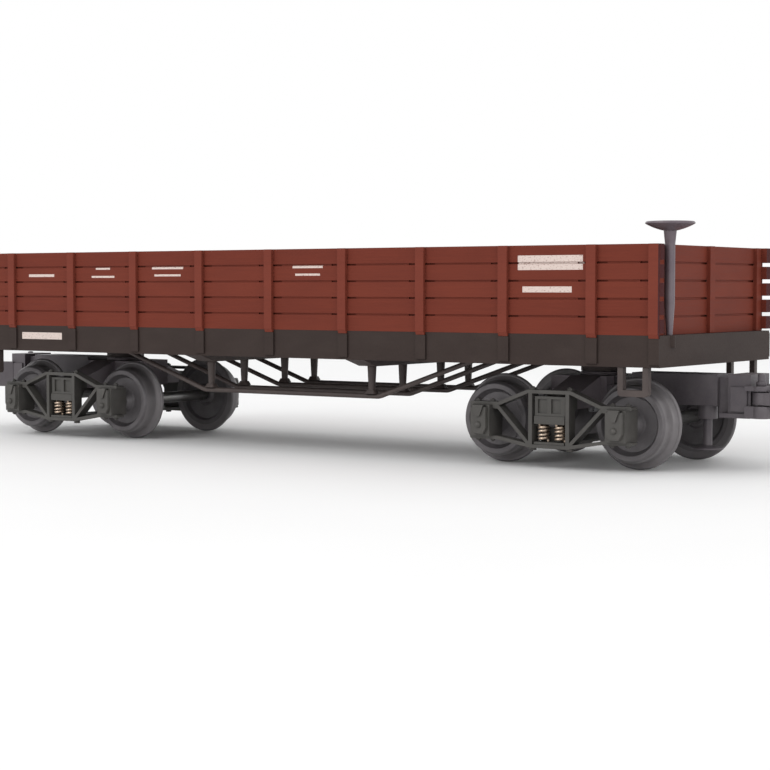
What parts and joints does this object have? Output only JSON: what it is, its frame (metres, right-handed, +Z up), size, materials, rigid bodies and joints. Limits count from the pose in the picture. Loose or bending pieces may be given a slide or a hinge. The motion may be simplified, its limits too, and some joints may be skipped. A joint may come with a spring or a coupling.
{
  "type": "model flat car",
  "caption": "O gauge model railway flat car with low plank sides and ends, truss-rod underframe, swivelling sprung archbar trucks and knuckle couplers.",
  "frame": {"origin": "under the middle of the car, on the plane that the wheel flanges' lowest points touch", "axes": "+X along the car towards the brake end, +Y across the car to the left seen from the plain end, +Z up"},
  "size_m": [0.2462, 0.0608, 0.0544],
  "materials": {
    "plank_red": "matte oxide red paint with fine board grain",
    "sill_black": "matte brown black paint",
    "underframe_black": "matte brown black moulding",
    "truck_grey": "matte dark grey painted casting",
    "coupler_grey": "satin dark grey casting",
    "wheel_grey": "satin grey turned casting with brighter treads",
    "axle_steel": "turned steel",
    "spring_bronze": "bronze coloured spring wire",
    "brake_grey": "satin grey metal",
    "screw_steel": "plated steel",
    "weight_steel": "dull cut steel"
  },
  "bodies": {
    "car_body": {"body_bolster_brake_end": "underframe_black", "body_bolster_plain_end": "underframe_black", "centre_sill": "underframe_black", "deck": "sill_black", "end_panel_brake_end": "plank_red", "end_panel_plain_end": "plank_red", "needle_beam_brake_end": "underframe_black", "needle_beam_plain_end": "underframe_black", "pivot_screws": "screw_steel", "queen_posts_brake_end": "underframe_black", "queen_posts_plain_end": "underframe_black", "side_panel_left": "plank_red", "side_panel_right": "plank_red", "stirrup_step_brake_end_left": "underframe_black", "stirrup_step_brake_end_right": "underframe_black", "stirrup_step_plain_end_left": "underframe_black", "stirrup_step_plain_end_right": "underframe_black", "truss_rod_1": "underframe_black", "truss_rod_2": "underframe_black", "truss_rod_3": "underframe_black", "truss_rod_4": "underframe_black", "weight_plate": "weight_steel", "weight_screws": "screw_steel"},
    "hand_brake": {"brake_staff": "brake_grey", "brake_wheel": "brake_grey"},
    "truck_a": {"truck_a_bolster": "truck_grey", "truck_a_coupler_arm": "coupler_grey", "truck_a_arm_rivets": "coupler_grey", "truck_a_coupler_head": "coupler_grey", "truck_a_knuckle_pin": "coupler_grey"},
    "truck_a_frame": {"truck_a_sideframe_left": "truck_grey", "truck_a_sideframe_right": "truck_grey", "truck_a_spring_plank": "truck_grey", "truck_a_coil_springs": "spring_bronze"},
    "truck_a_inner_wheelset": {"truck_a_inner_axle": "axle_steel", "truck_a_inner_wheel_left": "wheel_grey", "truck_a_inner_wheel_right": "wheel_grey"},
    "truck_a_outer_wheelset": {"truck_a_outer_axle": "axle_steel", "truck_a_outer_wheel_left": "wheel_grey", "truck_a_outer_wheel_right": "wheel_grey"},
    "truck_a_knuckle_jaw": {"truck_a_knuckle": "coupler_grey"},
    "truck_a_uncoupler": {"truck_a_armature": "coupler_grey"},
    "truck_b": {"truck_b_bolster": "truck_grey", "truck_b_coupler_arm": "coupler_grey", "truck_b_arm_rivets": "coupler_grey", "truck_b_coupler_head": "coupler_grey", "truck_b_knuckle_pin": "coupler_grey"},
    "truck_b_frame": {"truck_b_sideframe_left": "truck_grey", "truck_b_sideframe_right": "truck_grey", "truck_b_spring_plank": "truck_grey", "truck_b_coil_springs": "spring_bronze"},
    "truck_b_inner_wheelset": {"truck_b_inner_axle": "axle_steel", "truck_b_inner_wheel_left": "wheel_grey", "truck_b_inner_wheel_right": "wheel_grey"},
    "truck_b_outer_wheelset": {"truck_b_outer_axle": "axle_steel", "truck_b_outer_wheel_left": "wheel_grey", "truck_b_outer_wheel_right": "wheel_grey"},
    "truck_b_knuckle_jaw": {"truck_b_knuckle": "coupler_grey"},
    "truck_b_uncoupler": {"truck_b_armature": "coupler_grey"}
  },
  "joints": [
    {"name": "hand_brake_turn", "type": "hinge", "parent": "car_body", "child": "hand_brake", "pos_m": [0.1032, -0.02315, 0.0302], "axis": [0, 0, 1], "continuous": true},
    {"name": "truck_a_swivel", "type": "hinge", "parent": "car_body", "child": "truck_a", "pos_m": [0.075, 0, 0.021], "axis": [0, 0, 1], "range_deg": [-25, 25]},
    {"name": "truck_a_springing", "type": "slide", "parent": "truck_a", "child": "truck_a_frame", "axis": [0, 0, 1], "range_m": [-0.0002, 0.0006], "stiffness_N_per_m": 2400, "springref_m": -0.0005, "deforming": ["truck_a_coil_springs"]},
    {"name": "truck_a_inner_axle_turn", "type": "hinge", "parent": "truck_a_frame", "child": "truck_a_inner_wheelset", "pos_m": [0.0579, 0, 0.0103], "axis": [0, 1, 0], "continuous": true},
    {"name": "truck_a_outer_axle_turn", "type": "hinge", "parent": "truck_a_frame", "child": "truck_a_outer_wheelset", "pos_m": [0.0921, 0, 0.0103], "axis": [0, 1, 0], "continuous": true},
    {"name": "truck_a_knuckle_open", "type": "hinge", "parent": "truck_a", "child": "truck_a_knuckle_jaw", "pos_m": [0.1163, -0.0043, 0.01615], "axis": [0, 0, -1], "range_deg": [0, 40]},
    {"name": "truck_a_uncoupler_pull", "type": "slide", "parent": "truck_a", "child": "truck_a_uncoupler", "axis": [0, 0, -1], "range_m": [0, 0.0012], "stiffness_N_per_m": 40, "springref_m": -0.0005},
    {"name": "truck_b_swivel", "type": "hinge", "parent": "car_body", "child": "truck_b", "pos_m": [-0.075, 0, 0.021], "axis": [0, 0, 1], "range_deg": [-25, 25]},
    {"name": "truck_b_springing", "type": "slide", "parent": "truck_b", "child": "truck_b_frame", "axis": [0, 0, 1], "range_m": [-0.0002, 0.0006], "stiffness_N_per_m": 2400, "springref_m": -0.0005, "deforming": ["truck_b_coil_springs"]},
    {"name": "truck_b_inner_axle_turn", "type": "hinge", "parent": "truck_b_frame", "child": "truck_b_inner_wheelset", "pos_m": [-0.0579, 0, 0.0103], "axis": [0, 1, 0], "continuous": true},
    {"name": "truck_b_outer_axle_turn", "type": "hinge", "parent": "truck_b_frame", "child": "truck_b_outer_wheelset", "pos_m": [-0.0921, 0, 0.0103], "axis": [0, 1, 0], "continuous": true},
    {"name": "truck_b_knuckle_open", "type": "hinge", "parent": "truck_b", "child": "truck_b_knuckle_jaw", "pos_m": [-0.1163, 0.0043, 0.01615], "axis": [0, 0, -1], "range_deg": [0, 40]},
    {"name": "truck_b_uncoupler_pull", "type": "slide", "parent": "truck_b", "child": "truck_b_uncoupler", "axis": [0, 0, -1], "range_m": [0, 0.0012], "stiffness_N_per_m": 40, "springref_m": -0.0005}
  ]
}
